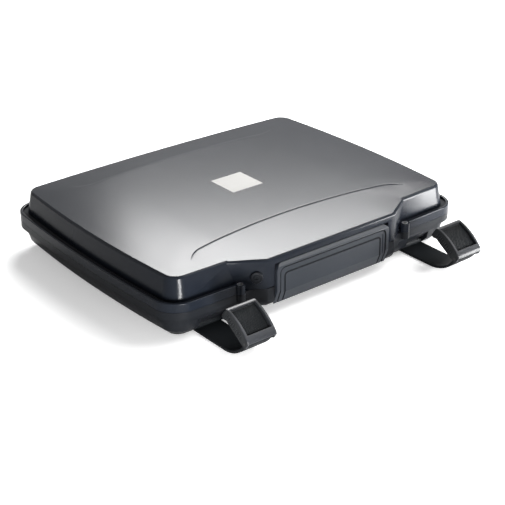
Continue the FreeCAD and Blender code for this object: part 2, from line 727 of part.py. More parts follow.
def base_foam_block(low, high):
    """Slice of the base's foam, clear of the latch bosses."""
    foam = base_cavity(v.soft_gap, base_top - v.foam_top_drop)
    for name, side in SIDES:
        middle = side * v.latch_place
        half = v.strap_width / 2 + v.strap_side_gap + v.ear_thickness + v.foam_notch_margin
        back = -v.latch_axis_y + v.notch_radius + v.shell_wall + v.foam_notch_margin
        foam = foam.cut(block(middle - half, middle + half, back - over - over, back,
                              0, base_top + over))
    slice_box = block(-2 * v.rim_half_x, 2 * v.rim_half_x, -2 * v.rim_half_y, 2 * v.rim_half_y,
                      low, high)
    return foam.common(slice_box)


def base_foam_floor():
    return base_foam_block(0, v.shell_wall + v.foam_floor)


def base_foam_frame():
    low = v.shell_wall + v.foam_floor
    high = base_top
    return base_foam_block(low, high).cut(bay(low - over, high + over))


# Handle

def round_upper_corners(body, half, top, radius):
    """Trim the two upper corners of a piece of the handle."""
    for side_word, sign in SIDES:
        edge = half * sign
        start = (half - radius) * sign
        beyond = (half + d.cut_overrun) * sign
        steps = [(start, top + d.cut_overrun), (beyond, top + d.cut_overrun),
                 (beyond, top - radius)]
        if sign > 0:
            steps += [(edge, top - radius, radius, True), (start, top)]
        else:
            steps += [(edge, top - radius, radius, False), (start, top)]
        trim = outline_sketch(body, "corner_" + side_word, "XZ_Plane", steps)
        pocket(body, "trim_" + side_word, trim, d.handle_front * 3)


def handle_core():
    """Plate with a hollow back for the fingers, hung on two arms."""
    body = new_body("handle_core")
    top = d.handle_high - d.grip_relief
    low = d.handle_low + d.grip_skin
    front = -d.handle_front + d.grip_skin
    axis_y = -d.handle_axis_y
    side = outline_sketch(body, "handle_side", "YZ_Plane", [
        (-d.handle_arm_back, d.handle_axis_z),
        (-d.handle_arm_back, d.handle_axis_z + d.handle_arm),
        (-d.handle_back, d.handle_axis_z + d.handle_arm + d.grip_skin),
        (-d.handle_back, top),
        (front + d.grip_skin, top),
        (front, top - d.grip_skin),
        (front, d.handle_axis_z + d.handle_arm),
        (axis_y - d.grip_skin, low),
        (axis_y, low),
    ])
    pad(body, "handle_block", side, (d.handle_half - d.grip_relief) * 2)
    round_upper_corners(body, d.handle_half - d.grip_relief, top, d.handle_corner - d.grip_relief)
    hollow = outline_sketch(body, "hollow_side", "YZ_Plane", rectangle(
        front + d.handle_plate, low - d.grip_skin, -d.handle_arm_back + d.cut_overrun,
        top - d.handle_bar))
    pocket(body, "handle_hollow", hollow, (d.handle_half - d.handle_arm) * 2)
    bore = circle_sketch(body, "handle_bores", "YZ_Plane", (axis_y, d.handle_axis_z),
                         d.handle_pin_radius + d.pin_clearance)
    pocket(body, "handle_bore", bore, d.handle_half * 3)


def handle_grip():
    """Soft skin over the plate, with a stepped border round its face."""
    body = new_body("handle_grip")
    top = d.handle_high
    low = d.handle_low
    front = -d.handle_front
    skin = d.grip_skin
    axis_y = -d.handle_axis_y
    side = outline_sketch(body, "grip_side", "YZ_Plane", [
        (front + skin * 2, top),
        (front + skin * 2, top - d.grip_relief),
        (front + skin, top - d.grip_relief - skin),
        (front + skin, d.handle_axis_z + d.handle_arm),
        (axis_y - skin, low + skin),
        (axis_y - skin, low),
        (axis_y - skin - d.grip_relief, low),
        (front, d.handle_axis_z + d.handle_arm),
        (front, top - skin),
        (front + skin, top),
    ])
    pad(body, "grip_block", side, d.handle_half * 2)
    round_upper_corners(body, d.handle_half, top, d.handle_corner)
    half = d.handle_half
    radius = d.handle_corner
    for name, inset, depth in (("step", d.grip_border, d.grip_relief),
                               ("field", d.grip_border + d.grip_step, d.grip_relief * 2)):
        corner = radius - inset / 2
        right = half - inset
        high = top - inset
        bottom = d.handle_axis_z + d.grip_border
        window = outline_sketch(body, "grip_" + name, "XZ_Plane", [
            (-right, bottom), (right, bottom), (right, high - corner, corner, True),
            (right - corner, high), (-right + corner, high, corner, True), (-right, high - corner)])
        window.AttachmentOffset = FreeCAD.Placement(Vector(0, 0, plain(-front - depth)), Rotation())
        bind(window, "AttachmentOffset.Base.z", -front - depth)
        pocket(body, "cut_" + name, window, d.grip_skin * 2, False, True)


# Latches

def bend_end():
    """Place of the lever's axis, measured from the strap's axis."""
    middle = d.strap_bend - d.strap_thickness / 2
    floor = -d.latch_axis_z + d.strap_lift
    return (-d.strap_run - middle * sine(d.strap_bend_angle),
            floor + d.strap_bend - middle * cosine(d.strap_bend_angle))


def latch_strap(name, side):
    """Stiff strap that lies on the ground and curves up to the lever."""
    body = new_body("latch_strap_" + name)
    floor = -d.latch_axis_z + d.strap_lift
    inner = d.strap_bend - d.strap_thickness
    centre_z = floor + d.strap_bend
    run = -d.strap_run
    outer_end = (run - d.strap_bend * sine(d.strap_bend_angle), centre_z - d.strap_bend * cosine(d.strap_bend_angle))
    inner_end = (run - inner * sine(d.strap_bend_angle), centre_z - inner * cosine(d.strap_bend_angle))
    band = outline_sketch(body, "band", "YZ_Plane", [
        (d.strap_lift, floor), (run, floor, d.strap_bend, False), outer_end,
        (inner_end[0], inner_end[1], inner, True), (run, floor + d.strap_thickness),
        (d.strap_lift, floor + d.strap_thickness)])
    pad(body, "band_pad", band, d.strap_width)
    eye = circle_sketch(body, "base_eye", "YZ_Plane", (d.strap_lift * 0, d.strap_lift * 0), d.strap_eye)
    pad(body, "base_eye_pad", eye, d.strap_width)
    end = bend_end()
    lever_eye = circle_sketch(body, "lever_eye", "YZ_Plane", end, d.lever_eye)
    pad(body, "lever_eye_pad", lever_eye, d.strap_width)
    hole = circle_sketch(body, "base_hole", "YZ_Plane", (d.strap_lift * 0, d.strap_lift * 0),
                         d.latch_pin_radius + d.pin_clearance)
    pocket(body, "base_hole_cut", hole, d.strap_width * 2)
    hole = circle_sketch(body, "lever_hole", "YZ_Plane", end, d.lever_pin_radius + d.pin_clearance)
    pocket(body, "lever_hole_cut", hole, d.strap_width * 2)
    place(body, d.latch_place * side, -d.latch_axis_y, d.latch_axis_z)


def lever_place(body, side):
    """Put a piece that is drawn round the lever's axis in its leaning place."""
    end = bend_end()
    place(body, d.latch_place * side, end[0] - d.latch_axis_y, end[1] + d.latch_axis_z,
          Rotation(RIGHT, v.lever_angle))
    bind(body, "Placement.Rotation.Angle", d.lever_angle)


def latch_lever(name, side):
    """Lever with two rails, a hook at its free end and a seat for the pad."""
    body = new_body("latch_lever_" + name)
    reach = d.lever_reach
    heel = -d.lever_heel
    face = d.lever_face
    under = -d.lever_under
    hook = -d.hook_depth
    outline = outline_sketch(body, "lever_side", "YZ_Plane", [
        (heel, under + d.hook_thickness / 2), (heel + d.hook_thickness / 2, under),
        (d.channel_length, under), (reach - d.hook_thickness * 1.3, hook),
        (reach - d.hook_thickness * 0.4, hook), (reach, under), (reach, face - d.hook_thickness / 2),
        (reach - d.hook_thickness / 2, face, d.lever_bulge, True),
        (heel + d.hook_thickness / 2, face), (heel, face - d.hook_thickness / 2)])
    pad(body, "lever_block", outline, d.lever_width)
    channel = outline_sketch(body, "channel", "YZ_Plane", rectangle(
        heel * 3, under * 3, d.channel_length, d.channel_roof))
    pocket(body, "channel_cut", channel, d.strap_width + d.lever_side_gap * 2)
    seat = outline_sketch(body, "pad_seat", "YZ_Plane", rectangle(
        d.pad_start, d.pad_floor, d.pad_end, d.pad_floor * 3))
    pocket(body, "pad_seat_cut", seat, d.pad_half * 2)
    hole = circle_sketch(body, "lever_pin_hole", "YZ_Plane", (reach * 0, reach * 0), d.lever_pin_radius)
    pocket(body, "lever_pin_cut", hole, d.lever_width * 2)
    lever_place(body, side)


def latch_pad(name, side):
    """Soft pad in the lever's face."""
    body = new_body("latch_pad_" + name)
    start = d.pad_start + d.soft_gap
    end = d.pad_end - d.soft_gap
    top = d.lever_face + d.pad_rise
    outline = outline_sketch(body, "pad_side", "YZ_Plane", [
        (start, d.pad_floor), (end, d.pad_floor), (end, top, d.lever_bulge, True), (start, top)])
    pad(body, "pad_block", outline, (d.pad_half - d.soft_gap) * 2)
    lever_place(body, side)


def lever_pin(name, side):
    end = bend_end()
    pin("lever_pin_" + name, d.lever_pin_radius, d.lever_width,
        d.latch_place * side, end[0] - d.latch_axis_y, end[1] + d.latch_axis_z)


# Padlock sleeves and valve

def sleeve(name, side, low, high):
    """Steel sleeve in a padlock hole."""
    start = Vector(side * v.padlock_place, -v.padlock_y, low)
    tube = rod(v.padlock_hole + v.sleeve_wall, high - low, start, UP)
    moulding(name, tube.cut(rod(v.padlock_hole, high - low, start, UP)))


def valve():
    seat, outward = valve_seat()
    depth = v.valve_depth
    vent = rod(v.valve_vent_radius, 3 * over, seat - outward * 2 * over, outward)
    tube = rod(v.valve_radius, depth, seat - outward * depth, outward)
    moulding("valve_body", tube.cut(vent))
    membrane = rod(v.valve_radius, v.membrane_thickness, seat, outward)
    moulding("valve_membrane", membrane)
    cap_start = seat + outward * v.membrane_thickness
    cap = rod(v.valve_cap_radius, v.valve_cap_height, cap_start, outward)
    rim_edges = [e for e in cap.Edges
                 if e.BoundBox.Center.distanceToPoint(cap_start) > v.valve_cap_height / 2
                 and isinstance(e.Curve, Part.Circle)]
    cap = cap.makeChamfer(v.valve_cap_height / 3, rim_edges)
    moulding("valve_cap", cap)


# All sub-parts

moulding("base_shell", base_shell())
moulding("lid_shell", lid_shell())
moulding("lid_seal", lid_seal())
moulding("lid_foam", lid_foam())
moulding("base_foam_floor", base_foam_floor())
moulding("base_foam_frame", base_foam_frame())
handle_core()
handle_grip()
valve()
for side_name, side_sign in SIDES:
    pin("hinge_pin_" + side_name, d.hinge_pin_radius,
        (d.lid_knuckle_length / 2 + d.base_knuckle_length) * 2,
        d.hinge_place * side_sign, d.hinge_axis_y, d.seam_level)
    pin("handle_pin_" + side_name, d.handle_pin_radius, d.handle_pin_length,
        (d.handle_half - d.handle_pin_depth + d.handle_pin_length / 2) * side_sign,
        -d.handle_axis_y, d.handle_axis_z)
    pin("latch_pin_" + side_name, d.latch_pin_radius,
        d.strap_width + d.strap_side_gap * 2 + d.ear_thickness,
        d.latch_place * side_sign, -d.latch_axis_y, d.latch_axis_z)
    latch_strap(side_name, side_sign)
    latch_lever(side_name, side_sign)
    latch_pad(side_name, side_sign)
    lever_pin(side_name, side_sign)
    sleeve("padlock_sleeve_upper_" + side_name, side_sign, lid_bottom, lid_ledge + v.lid_lip_height)
    sleeve("padlock_sleeve_lower_" + side_name, side_sign, base_flange_bottom, base_top)

doc.recompute()

# Nothing is written unless every object is sound

for thing in doc.Objects:
    if "Invalid" in thing.State or "Error" in thing.State:
        raise RuntimeError("%s is not sound: %s" % (thing.Label, thing.State))
for node in nodes:
    if node.Shape.isNull() or not node.Shape.isValid():
        raise RuntimeError("%s has no valid shape" % node.Label)

os.makedirs("parts", exist_ok=True)
for node in nodes:
    node.Shape.exportStep("parts/%s.step" % node.Label)
    box = node.Shape.BoundBox
    print("%-28s solids %d  volume %10.1f  x %7.1f %7.1f  y %7.1f %7.1f  z %6.1f %6.1f" % (
        node.Label, len(node.Shape.Solids), node.Shape.Volume,
        box.XMin, box.XMax, box.YMin, box.YMax, box.ZMin, box.ZMax))
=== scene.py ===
import math

import bmesh
import bpy
from mathutils import Matrix, Vector


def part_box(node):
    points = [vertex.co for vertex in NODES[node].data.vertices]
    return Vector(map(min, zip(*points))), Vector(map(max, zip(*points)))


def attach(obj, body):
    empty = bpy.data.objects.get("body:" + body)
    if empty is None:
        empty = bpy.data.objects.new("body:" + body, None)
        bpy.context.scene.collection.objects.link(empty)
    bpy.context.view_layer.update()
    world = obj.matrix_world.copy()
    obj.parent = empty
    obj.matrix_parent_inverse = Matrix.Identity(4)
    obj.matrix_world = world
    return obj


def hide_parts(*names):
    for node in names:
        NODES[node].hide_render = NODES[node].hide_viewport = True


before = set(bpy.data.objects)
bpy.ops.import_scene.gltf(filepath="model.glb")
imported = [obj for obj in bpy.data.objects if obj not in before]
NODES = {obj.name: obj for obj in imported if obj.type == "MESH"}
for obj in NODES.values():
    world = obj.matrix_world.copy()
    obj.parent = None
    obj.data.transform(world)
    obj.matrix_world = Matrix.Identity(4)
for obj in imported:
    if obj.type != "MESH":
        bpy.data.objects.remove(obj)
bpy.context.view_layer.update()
SIDES = (("left", -1), ("right", 1))

# Sizes in metres, in the CAD's frame. First the levels and outlines of the two shells

SEAM_TOP = 0.03615
SEAM_LOW = 0.03585
FLANGE_LOW = 0.028
LEDGE = 0.04295
LIP_TOP = 0.04595
BEVEL_FOOT = 0.0670
LID_EDGE = 0.0685
PANEL_TOP = 0.07024
PANEL_END = 0.100
RIM_HALF = (0.1966, 0.1531)
RIM_CORNER = 0.028
RIM_SLACK = 0.0004
LIP_BAND_SIDE = 0.016
LIP_BAND_BACK = 0.140
LIP_BAND_FRONT = -0.139
HOUSING_FRONT = 0.165
HOUSING_NEAR = 0.0002
PADLOCK_PLACE = (0.1135, -0.1545)
PADLOCK_REACH = 0.0088

# Joining of points, how near a point or a face's middle counts as being at a level, and how
# much the slants of two faces differ at an edge of the lid's bevel

WELD = 0.000004
NEAR = 0.00003
FACE_NEAR = 0.0001
SLANT_CHANGE = 0.12

# Planes, by a place and a normal, that divide the ring of the lip's top

LIP_CUTS = (((0.012, 0, 0), (1, 0, 0)), ((0, 0.02, 0), (0, 1, 0)), ((0, -0.11, 0), (0, 1, 0)))

# Radii of rounded edges. The lid's two edges each have a level and a share of the radius

LID_EDGE_RADIUS = 0.0012
LID_EDGES = ((BEVEL_FOOT, 1.0), (LID_EDGE, 0.6))
LIP_RADIUS = 0.0012
SEAM_RADIUS = 0.0013
FLANGE_RADIUS = 0.0011
HOUSING_RADIUS = 0.0009
HANDLE_RADIUS = 0.0007
STRAP_RADIUS = 0.0005
LEVER_RADIUS = 0.0012
SEAT_RADIUS = 0.0006
PAD_RADIUS = 0.0005
SEAL_RADIUS = 0.0008

# Lid's creases. Each has its place in the middle and its sweep at CREASE_HALF from there, a
# curl with its start, length and depth, and a profile with its step, groove and width

CREASE_HALF = 0.125
FRONT_CREASE, FRONT_CURL = (0.0915, 0.0125), (0.125, 0.0205, 0.009)
BACK_CREASE, BACK_CURL = (0.112, 0.008), (0.120, 0.026, 0.0125)
FRONT_PROFILE = (0.00045, 0.00062, 0.00062)
BACK_PROFILE = (0.00040, 0.00012, 0.0012)
CREASE_FADE = (0.134, 0.016)
CREASE_OFFSETS = (0.0002, 0.0004, 0.0007, 0.0011, 0.0017, 0.0026)
CREASE_SPREAD = (*(-offset for offset in reversed(CREASE_OFFSETS)), 0, *CREASE_OFFSETS)

# Crown of the lid's top, and the stamp that shapes it

END_FULLNESS = 0.7
CROWN_LIFT = 0.00002
CROWN_DROP = 0.0005
CROWN_STOCK = 0.004
STAMP_HALF = 0.2
STAMP_FRONT = -0.176
STAMP_BACK = 0.160
STAMP_TOP = 0.082
STAMP_DEPTH = 0.012
STAMP_COLUMNS = 150
FRONT_ROWS, PANEL_ROWS, BACK_ROWS = 16, 26, 10

# Label

LABEL_PLACE = (0.0060, 0.0045)
LABEL_SIZE = 0.0415
LABEL_DEPTH = 0.0003
LABEL_PROUD = 0.00005
LABEL_CORNER = 0.0008
LABEL_RIM = {"thickness": 0.0005, "depth": -0.00004}

# Handle: each groove's half width, top and turn, the tube that cuts it, and the outline that
# is rounded

GRIP_GROOVES = ((0.0722, 0.0552, 0.006), (0.0655, 0.0478, 0.004))
GROOVE_RADIUS = 0.00105
GROOVE_SHARE_OUT = 0.1
GROOVE_START = 0.002
GROOVE_STEP = 0.004
RISE_STEPS = 16
TURN_STEPS = 6
GRIP_OUTLINE = (0.0735, 0.0562)
GRIP_BACK_NEAR = 0.0005
CORE_FRONT = 0.004

# Latches. The lever is measured across, along and out of its face, from its axis: its pad,
# the eye at its foot, the seat's rim, and the ribs cut in its sides

LATCH_PLACE = 0.1418
LEVER_AXIS = (-0.219806, 0.02305)
LEVER_TURN = math.radians(33.7)
LEVER_HALF = 0.0178
PAD_SEAT = 0.0050
PAD_LIFT = 0.00005
PAD_EDGE_LIFT = 0.0002
PAD_MIDDLE = 0.01965
PAD_RECESS = (0.0292, 0.0303, 0.008)
PAD_BACK = 0.0066
PAD_FACE, PAD_CAD_FACE = 0.0060, 0.0074
PAD_SHARES = (0.93, 0.94, 0.8)
LEVER_BACK = -0.0015
EYE_LENGTH = 0.006
EYE_TOP = 0.0050
SEAT_FACE = 0.0060
SEAT_MARGIN = 0.0010
SIDE_DEPTH = 0.0007
RIB_SIZE = (0.0009, 0.0012, 0.0056)
RIB_OUT = 0.0012
RIB_START = 0.0080
RIB_PITCH = 0.0027
RIB_COUNT = 10
STRAP_SPAN = (-0.212, -0.1425)
STRAP_NEAR = 0.00002

# Valve's cap, with the width and depth of each step of its face

CAP_RADIUS = 0.0063
CAP_HEIGHT = 0.0024
CAP_EDGE_RADIUS = 0.0007
CAP_STEPS = ((0.0011, 0), (0.0004, -0.0005), (0.0010, 0), (0.0004, 0.0003), (0.0008, 0),
             (0.0002, -0.0012))

# Foam: waves of the lid's lining, sag of the tray's faces, and the voxels and rounds of wear

FOAM_PITCH = 0.0042
FOAM_WAVE = 0.009
FOAM_FACE = 0.004
FOAM_MARGIN = 0.012
FOAM_BLEND = 0.014
TRAY_FACE = 0.0015
TRAY_SAG = 0.0004
TRAY_WAVES = ((37, 1.3), (41, 0.4))
LINING_VOXEL, LINING_WEAR = 0.0032, 3
TRAY_VOXEL, TRAY_WEAR = 0.0030, 4


# Camera, at the photograph's viewing angle

CAMERA_PLACE = (-0.8071, -1.0572, 0.6456)
CAMERA_AZIMUTH = math.radians(-38.17)
CAMERA_ELEVATION = math.radians(26.39)
CAMERA_ROLL = math.radians(-0.50)
CAMERA_LENS = 92.68
SENSOR_WIDTH = 36


def make_camera():
    back = Vector((math.sin(CAMERA_AZIMUTH) * math.cos(CAMERA_ELEVATION),
                   -math.cos(CAMERA_AZIMUTH) * math.cos(CAMERA_ELEVATION),
                   math.sin(CAMERA_ELEVATION)))
    level = (-back).cross(Vector((0, 0, 1))).normalized()
    upright = level.cross(-back)
    right = level * math.cos(CAMERA_ROLL) + upright * math.sin(CAMERA_ROLL)
    up = upright * math.cos(CAMERA_ROLL) - level * math.sin(CAMERA_ROLL)
    data = bpy.data.cameras.new("camera")
    data.lens = CAMERA_LENS
    data.sensor_width = SENSOR_WIDTH
    camera = bpy.data.objects.new("camera", data)
    camera.matrix_world = Matrix((
        (right.x, up.x, back.x, CAMERA_PLACE[0]),
        (right.y, up.y, back.y, CAMERA_PLACE[1]),
        (right.z, up.z, back.z, CAMERA_PLACE[2]),
        (0, 0, 0, 1)))
    bpy.context.scene.collection.objects.link(camera)
    bpy.context.scene.camera = camera


# Studio: pale floor, white background, soft lamps

WORLD_LIGHT = 0.26
FLOOR_SIZE = 12
FLOOR_COLOUR = (0.93, 0.93, 0.93, 1)
FLOOR_GLOW = 0.36
GLOW_STARTS = 0.5
GLOW_FULL = 1.4

# Each lamp's name, place, target, size and power

LAMPS = (
    ("softbox_back", (0.615, 0.698, 0.80), (-0.06, -0.08, 0.07), (0.64, 0.36), 21),
    ("softbox_over", (0.84, -0.61, 1.20), (0, -0.17, 0.05), (0.95, 0.95), 22),
    ("card_right", (0.33, -0.33, 0.012), (0.165, -0.148, 0.06), (0.18, 0.12), 4.4),
    ("card_left", (-0.235, -0.37, 0.012), (-0.178, -0.138, 0.06), (0.04, 0.12), 2.0),
)


def make_floor():
    """Pale floor that keeps the case's shadow and is white to the camera further out."""
    bpy.ops.mesh.primitive_plane_add(size=FLOOR_SIZE)
    floor = bpy.context.active_object
    floor.name = "floor"
    white = Finish("floor_white", 0.9, 0.1)
    white.shader.inputs["Base Color"].default_value = FLOOR_COLOUR
    distance = white.node("ShaderNodeVectorMath", operation="LENGTH")
    white.link(white.coordinates.outputs["Object"], distance.inputs[0])
    growth = white.node("ShaderNodeMapRange")
    growth.inputs["From Min"].default_value = GLOW_STARTS
    growth.inputs["From Max"].default_value = GLOW_FULL
    growth.inputs["To Min"].default_value = FLOOR_GLOW
    growth.inputs["To Max"].default_value = 1.0
    white.link(distance.outputs["Value"], growth.inputs["Value"])
    share = white.node("ShaderNodeMath", operation="MULTIPLY")
    white.link(white.node("ShaderNodeLightPath").outputs["Is Camera Ray"], share.inputs[0])
    white.link(growth.outputs["Result"], share.inputs[1])
    glow = white.node("ShaderNodeEmission")
    white.link(share.outputs[0], glow.inputs["Strength"])
    both = white.node("ShaderNodeAddShader")
    white.link(white.shader.outputs[0], both.inputs[0])
    white.link(glow.outputs[0], both.inputs[1])
    white.link(both.outputs[0], white.tree.nodes["Material Output"].inputs["Surface"])
    floor.data.materials.append(white.material)


def make_world():
    """World that is white to the camera and in reflections, and a dim light otherwise."""
    world = bpy.data.worlds.new("studio")
    bpy.context.scene.world = world
    world.use_nodes = True
    tree = world.node_tree
    tree.nodes.clear()
    output = tree.nodes.new("ShaderNodeOutputWorld")
    mix = tree.nodes.new("ShaderNodeMixShader")
    path = tree.nodes.new("ShaderNodeLightPath")
    seen = tree.nodes.new("ShaderNodeMath")
    seen.operation = "MAXIMUM"
    clear = tree.nodes.new("ShaderNodeMath")
    clear.operation = "MAXIMUM"
    light = tree.nodes.new("ShaderNodeBackground")
    light.inputs["Color"].default_value = (1, 1, 1, 1)
    light.inputs["Strength"].default_value = WORLD_LIGHT
    white = tree.nodes.new("ShaderNodeBackground")
    white.inputs["Color"].default_value = (1, 1, 1, 1)
    white.inputs["Strength"].default_value = 1.0
    tree.links.new(path.outputs["Is Camera Ray"], seen.inputs[0])
    tree.links.new(path.outputs["Is Transmission Ray"], seen.inputs[1])
    tree.links.new(seen.outputs[0], clear.inputs[0])
    tree.links.new(path.outputs["Is Glossy Ray"], clear.inputs[1])
    tree.links.new(clear.outputs[0], mix.inputs["Fac"])
    tree.links.new(light.outputs[0], mix.inputs[1])
    tree.links.new(white.outputs[0], mix.inputs[2])
    tree.links.new(mix.outputs[0], output.inputs["Surface"])


def area_lamp(name, place, target, size, power):
    data = bpy.data.lights.new(name, "AREA")
    data.shape = "RECTANGLE"
    data.size, data.size_y = size
    data.energy = power
    lamp = bpy.data.objects.new(name, data)
    lamp.location = place
    lamp.rotation_euler = (Vector(target) - Vector(place)).to_track_quat("-Z", "Y").to_euler()
    lamp.visible_camera = False
    bpy.context.scene.collection.objects.link(lamp)


def make_studio():
    bpy.context.scene.view_settings.view_transform = "Standard"
    make_world()
    make_floor()
    for lamp in LAMPS:
        area_lamp(*lamp)


# Materials. Scales are of the pattern's noise or waves, per metre

MOTTLE_SCALE = 14.0
SHEEN_SCALE = 60.0
RUBBER_SCALE = 30.0
RIBS_SCALE = 190.0
FOAM_SCALE = 45.0
PORES_SCALE = 900.0
STREAK_SCALE = 220.0


class Finish:
    """A procedural material with its nodes on Object coordinates."""

    def __init__(self, name, roughness, specular=0.5, metallic=0.0):
        self.material = bpy.data.materials.new(name)
        self.material.use_nodes = True
        self.tree = self.material.node_tree
        self.shader = self.tree.nodes["Principled BSDF"]
        self.shader.inputs["Roughness"].default_value = roughness
        self.shader.inputs["Specular IOR Level"].default_value = specular
        self.shader.inputs["Metallic"].default_value = metallic
        self.coordinates = self.tree.nodes.new("ShaderNodeTexCoord")

    def node(self, kind, **settings):
        made = self.tree.nodes.new(kind)
        for key, value in settings.items():
            setattr(made, key, value)
        return made

    def link(self, source, target):
        self.tree.links.new(source, target)

    def noise(self, scale, detail=2.0, rough=0.5):
        made = self.node("ShaderNodeTexNoise")
        made.inputs["Scale"].default_value = scale
        made.inputs["Detail"].default_value = detail
        made.inputs["Roughness"].default_value = rough
        self.link(self.coordinates.outputs["Object"], made.inputs["Vector"])
        return made.outputs["Fac"]

    def colours(self, factor, low, high, start=0.3, end=0.7):
        """Colour that varies from low to high with a factor."""
        ramp = self.node("ShaderNodeValToRGB")
        ramp.color_ramp.elements[0].position = start
        ramp.color_ramp.elements[0].color = (*low, 1)
        ramp.color_ramp.elements[1].position = end
        ramp.color_ramp.elements[1].color = (*high, 1)
        self.link(factor, ramp.inputs["Fac"])
        self.link(ramp.outputs["Color"], self.shader.inputs["Base Color"])

    def roughness(self, factor, low, high):
        spread = self.node("ShaderNodeMapRange")
        spread.inputs["To Min"].default_value = low
        spread.inputs["To Max"].default_value = high
        self.link(factor, spread.inputs["Value"])
        self.link(spread.outputs["Result"], self.shader.inputs["Roughness"])

    def bump(self, factor, strength, depth):
        made = self.node("ShaderNodeBump")
        made.inputs["Strength"].default_value = strength
        made.inputs["Distance"].default_value = depth
        self.link(factor, made.inputs["Height"])
        self.link(made.outputs["Normal"], self.shader.inputs["Normal"])


def moulded(name, low, high, grain, roughness, specular=0.5):
    """Moulded polymer: fine grain, slight mottling and uneven sheen."""
    surface = Finish(name, sum(roughness) / 2, specular)
    surface.colours(surface.noise(MOTTLE_SCALE, detail=4.0, rough=0.6), low, high)
    surface.roughness(surface.noise(SHEEN_SCALE, detail=3.0), *roughness)
    surface.bump(surface.noise(grain, rough=0.6), strength=0.12, depth=0.00006)
    return surface.material


def ribbed_rubber(name, low, high):
    """Rubber with a raised diamond pattern in the slope of the lever's face."""
    surface = Finish(name, 0.58, 0.05)
    surface.colours(surface.noise(RUBBER_SCALE, detail=3.0), low, high)
    slope = surface.node("ShaderNodeMapping")
    slope.inputs["Rotation"].default_value = (-LEVER_TURN, 0, 0)
    surface.link(surface.coordinates.outputs["Object"], slope.inputs["Vector"])
    both = surface.node("ShaderNodeMath", operation="MULTIPLY")
    for index, turn in enumerate((45, -45)):
        turned = surface.node("ShaderNodeMapping")
        turned.inputs["Rotation"].default_value = (0, 0, math.radians(turn))
        surface.link(slope.outputs["Vector"], turned.inputs["Vector"])
        band = surface.node("ShaderNodeTexWave", wave_type="BANDS", bands_direction="X")
        band.inputs["Scale"].default_value = RIBS_SCALE
        surface.link(turned.outputs["Vector"], band.inputs["Vector"])
        surface.link(band.outputs["Fac"], both.inputs[index])
    surface.bump(both.outputs["Value"], strength=0.8, depth=0.0005)
    return surface.material


def soft_foam(name, low, high):
    """Foam with an open, uneven surface."""
    surface = Finish(name, 0.95, 0.15)
    surface.colours(surface.noise(FOAM_SCALE, detail=4.0), low, high)
    pores = surface.noise(PORES_SCALE, detail=3.0, rough=0.7)
    surface.bump(pores, strength=0.9, depth=0.0006)
    return surface.material


def steel(name, low, high, roughness):
    """Drawn steel, with streaks in its colour and its sheen."""
    surface = Finish(name, sum(roughness) / 2, metallic=1.0)
    streak = surface.noise(STREAK_SCALE)
    surface.colours(streak, low, high)
    surface.roughness(streak, *roughness)
    return surface.material


# Each finish's name and its darkest and lightest colour. A moulded one also has the fineness of
# its grain, the range of its roughness and the strength of its reflections

SHELL = moulded("shell_polymer", (0.007, 0.009, 0.013), (0.010, 0.012, 0.017),
                1500, (0.225, 0.262), 0.10)
# Same polymer as the lid's shell but darker: painted shade over the base below the seam
SHADED_BASE_SHELL = moulded("base_polymer_painted_shade", (0.008, 0.009, 0.011), (0.011, 0.012, 0.014),
                     1500, (0.29, 0.33), 0.08)
STRAP = moulded("strap_polymer", (0.004, 0.005, 0.006), (0.006, 0.007, 0.008),
                1200, (0.55, 0.65), 0.08)
# Dark matt polymer that paints shade into grooves and sunk places: the lid's groove, the grip's
# grooves and the vent
PAINTED_GROOVE_SHADE = moulded("groove_painted_shade", (0.007, 0.008, 0.010), (0.010, 0.011, 0.013),
                 1400, (0.6, 0.7), 0.08)
LABEL = moulded("label_plate", (0.35, 0.345, 0.335), (0.40, 0.395, 0.38),
                1800, (0.5, 0.56), 0.1)
LEVER = moulded("lever_polymer", (0.012, 0.013, 0.015), (0.017, 0.018, 0.021),
                1500, (0.31, 0.36), 0.16)
# Darker copy of the lever's polymer: painted shade on the lever's sides
SHADED_LEVER_SIDE = moulded("lever_side", (0.006, 0.007, 0.008), (0.009, 0.010, 0.011),
                     1500, (0.45, 0.55), 0.15)
GRIP = moulded("grip_rubber", (0.014, 0.017, 0.022), (0.018, 0.021, 0.027),
               1400, (0.30, 0.38), 0.22)
CORE = moulded("core_polymer", (0.014, 0.015, 0.018), (0.018, 0.019, 0.023),
               1300, (0.5, 0.6), 0.2)
VALVE = moulded("valve_polymer", (0.005, 0.006, 0.008), (0.008, 0.009, 0.011),
                1500, (0.34, 0.42), 0.08)
SEAL = moulded("seal_rubber", (0.010, 0.010, 0.011), (0.016, 0.016, 0.017),
               900, (0.6, 0.7), 0.3)
PAD = ribbed_rubber("pad_rubber", (0.004, 0.0045, 0.005), (0.006, 0.007, 0.008))
FOAM = soft_foam("grey_foam", (0.085, 0.088, 0.092), (0.12, 0.123, 0.128))
MEMBRANE = soft_foam("valve_membrane", (0.55, 0.55, 0.54), (0.68, 0.68, 0.67))
STEEL = steel("stainless_steel", (0.52, 0.52, 0.53), (0.70, 0.70, 0.71), (0.29, 0.38))
BLACK_STEEL = steel("blackened_steel", (0.03, 0.03, 0.032), (0.05, 0.05, 0.052), (0.40, 0.5))

# Finish of each CAD piece, by how its name starts

NODE_FINISH = (
    ("base_shell", SHELL), ("lid_shell", SHELL), ("lid_seal", SEAL), ("handle_core", CORE),
    ("handle_grip", GRIP), ("valve_body", VALVE), ("valve_cap", VALVE),
    ("valve_membrane", MEMBRANE), ("base_foam_floor", FOAM), ("base_foam_frame", FOAM),
    ("lid_foam", FOAM), ("hinge_pin", STEEL), ("handle_pin", STEEL), ("latch_pin", STEEL),
    ("lever_pin", BLACK_STEEL), ("padlock_sleeve", STEEL), ("latch_strap", STRAP),
    ("latch_lever", LEVER), ("latch_pad", PAD),
)


